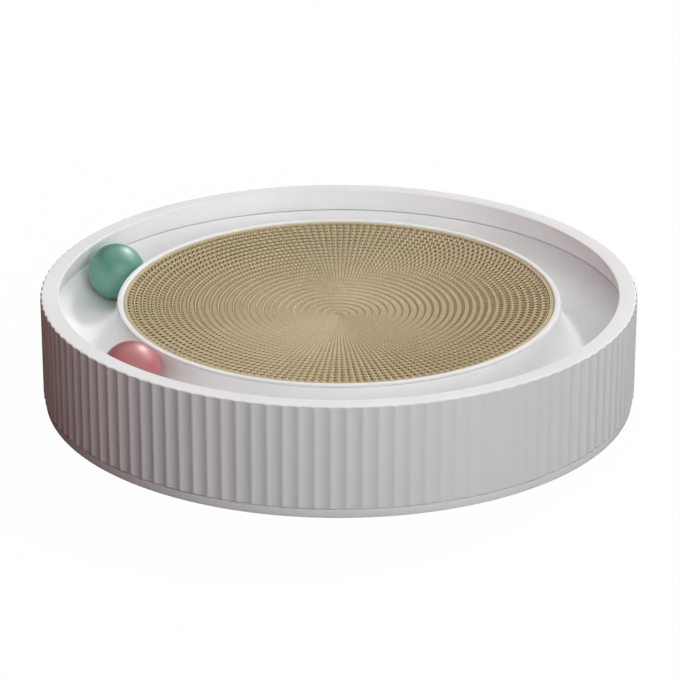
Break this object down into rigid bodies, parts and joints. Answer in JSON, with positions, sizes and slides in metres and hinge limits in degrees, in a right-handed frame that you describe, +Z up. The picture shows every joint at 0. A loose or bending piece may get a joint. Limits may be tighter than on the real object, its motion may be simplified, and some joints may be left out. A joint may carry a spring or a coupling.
{
  "type": "cat scratcher with ball track",
  "caption": "Round fluted drum with a dished, wound corrugated scratching pad in its middle and an open ring track in which hollow balls roll.",
  "frame": {"origin": "on the floor, on the drum's axis: the bottom centre of the bounding box", "axes": "+Z up along the drum's axis; the picture looks along +Y from the front, with +X to its right"},
  "size_m": [0.401, 0.4008, 0.0795],
  "materials": {
    "white_plastic": "satin moulded polypropylene",
    "green_plastic": "satin gloss",
    "coral_plastic": "satin gloss",
    "corrugated_board": "raw kraft corrugated board, edge up",
    "board_liner": "raw kraft liner",
    "foot_rubber": "matt",
    "steel": "zinc plated"
  },
  "bodies": {
    "drum": {"outer_shell": "white_plastic", "base_plate": "white_plastic", "track_tray": "white_plastic", "pad_cup": "white_plastic", "shell_screw_1": "steel", "shell_screw_2": "steel", "shell_screw_3": "steel", "shell_screw_4": "steel", "shell_screw_5": "steel", "shell_screw_6": "steel", "cup_screw_1": "steel", "cup_screw_2": "steel", "cup_screw_3": "steel", "cup_screw_4": "steel", "foot_1": "foot_rubber", "foot_2": "foot_rubber", "foot_3": "foot_rubber", "foot_4": "foot_rubber", "foot_5": "foot_rubber", "foot_6": "foot_rubber"},
    "pad": {"pad_core": "corrugated_board", "pad_winding": "corrugated_board", "pad_wrap": "board_liner"},
    "green_bell": {"green_ball_bell": "steel", "green_ball_bell_pellet": "steel"},
    "green_ball": {"green_ball_outer_half": "green_plastic", "green_ball_inner_half": "green_plastic"},
    "coral_bell": {"coral_ball_bell": "steel", "coral_ball_bell_pellet": "steel"},
    "coral_ball": {"coral_ball_outer_half": "coral_plastic", "coral_ball_inner_half": "coral_plastic"}
  },
  "joints": [
    {"name": "pad_lift_out", "type": "slide", "parent": "drum", "child": "pad", "axis": [0, 0, 1], "range_m": [0, 0.045]},
    {"name": "green_ball_orbit", "type": "hinge", "parent": "drum", "child": "green_bell", "pos_m": [0, 0, 0.0602], "axis": [0, 0, 1], "range_deg": [-140, 24]},
    {"name": "green_ball_roll", "type": "hinge", "parent": "green_bell", "child": "green_ball", "pos_m": [-0.15466, 0.06983, 0.0602], "axis": [-0.9114, 0.4115, 0], "range_deg": [-210, 1215]},
    {"name": "coral_ball_orbit", "type": "hinge", "parent": "drum", "child": "coral_bell", "pos_m": [0, 0, 0.0602], "axis": [0, 0, 1], "range_deg": [-24, 140]},
    {"name": "coral_ball_roll", "type": "hinge", "parent": "coral_bell", "child": "coral_ball", "pos_m": [-0.13373, -0.10448, 0.0602], "axis": [-0.788, -0.6157, 0], "range_deg": [-1215, 210]}
  ],
  "couplings": [
    {"joint": "green_ball_roll", "follows": "green_ball_orbit", "ratio": -8.6582},
    {"joint": "coral_ball_roll", "follows": "coral_ball_orbit", "ratio": -8.6582}
  ]
}
